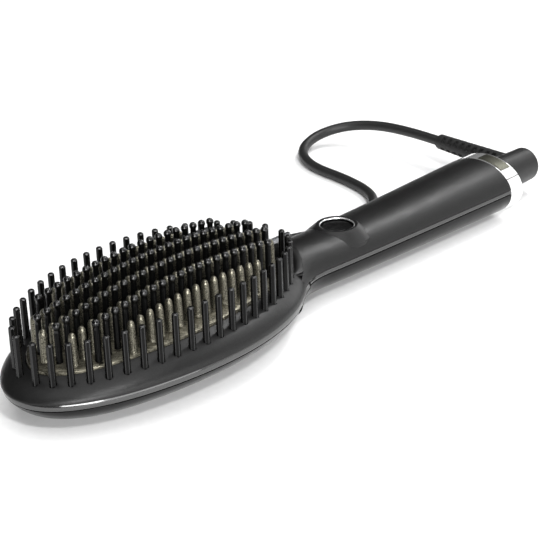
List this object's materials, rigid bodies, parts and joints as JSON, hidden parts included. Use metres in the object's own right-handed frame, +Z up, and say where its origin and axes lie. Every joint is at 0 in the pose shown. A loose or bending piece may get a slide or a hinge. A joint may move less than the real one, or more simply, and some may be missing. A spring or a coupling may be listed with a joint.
{
  "type": "hair straightener brush",
  "caption": "Heated straightening brush with an oval bristle head, tapered handle, chrome end ring, press button and a cord on a swivel.",
  "frame": {"origin": "under the middle of the brush, without its cord, on the surface it lies on, bristles up", "axes": "+X from the head to the cord end, +Y to the side that the cord leaves from, +Z up through the bristles"},
  "size_m": [0.2985, 0.1517, 0.0436],
  "materials": {
    "shell_satin": "satin black moulded shell with a very fine grain",
    "shell_gloss": "glossy black moulded shell",
    "trim_gloss": "glossy black band",
    "plate_coated": "olive-bronze metallic ceramic coating on cast aluminium",
    "nylon": "black heat-resistant nylon",
    "ceramic": "white ceramic heater, matte",
    "mica": "mica sheet",
    "steel": "zinc-plated steel",
    "chrome": "bright chrome plating",
    "button_plastic": "matte black plastic",
    "board": "green circuit board",
    "badge": "bare dark grey-olive plate, satin",
    "inner_plastic": "heat-resistant moulding, grey",
    "cap_plastic": "semi-gloss black plastic",
    "brass": "plated brass",
    "rubber": "matte black soft plastic",
    "cord_sheath": "matte black cord sheath"
  },
  "bodies": {
    "body": {"upper_housing": "shell_satin", "lower_housing": "shell_gloss", "head_trim": "trim_gloss", "handle_trim_near": "trim_gloss", "handle_trim_far": "trim_gloss", "heater_plate": "plate_coated", "pin_strip_1": "nylon", "pin_strip_2": "nylon", "pin_strip_3": "nylon", "pin_strip_4": "nylon", "guard_pin_frame": "nylon", "heater_element": "ceramic", "insulation_sheet": "mica", "heater_clamp": "steel", "clamp_screws": "steel", "thermal_fuse": "steel", "button_bezel": "chrome", "control_board": "board", "tact_switch": "button_plastic", "chrome_ring": "chrome", "badge_plate": "badge", "end_plug": "shell_gloss", "contact_block": "inner_plastic", "cord": "cord_sheath", "cord_hank": "cord_sheath", "cord_tie": "rubber", "cord_tail": "cord_sheath", "plug_body": "rubber", "plug_blades": "brass"},
    "power_button": {"power_button": "button_plastic"},
    "cord_swivel": {"swivel_cap": "cap_plastic", "slip_rings": "brass", "retaining_clip": "steel", "strain_relief": "rubber"}
  },
  "joints": [
    {"name": "power_button_press", "type": "slide", "parent": "body", "child": "power_button", "axis": [0, 0, -1], "range_m": [0, 0.0006], "stiffness_N_per_m": 1500, "springref_m": -0.0004},
    {"name": "cord_swivel_turn", "type": "hinge", "parent": "body", "child": "cord_swivel", "pos_m": [0.13215, 0, 0.0122], "axis": [1, 0, 0], "continuous": true}
  ]
}
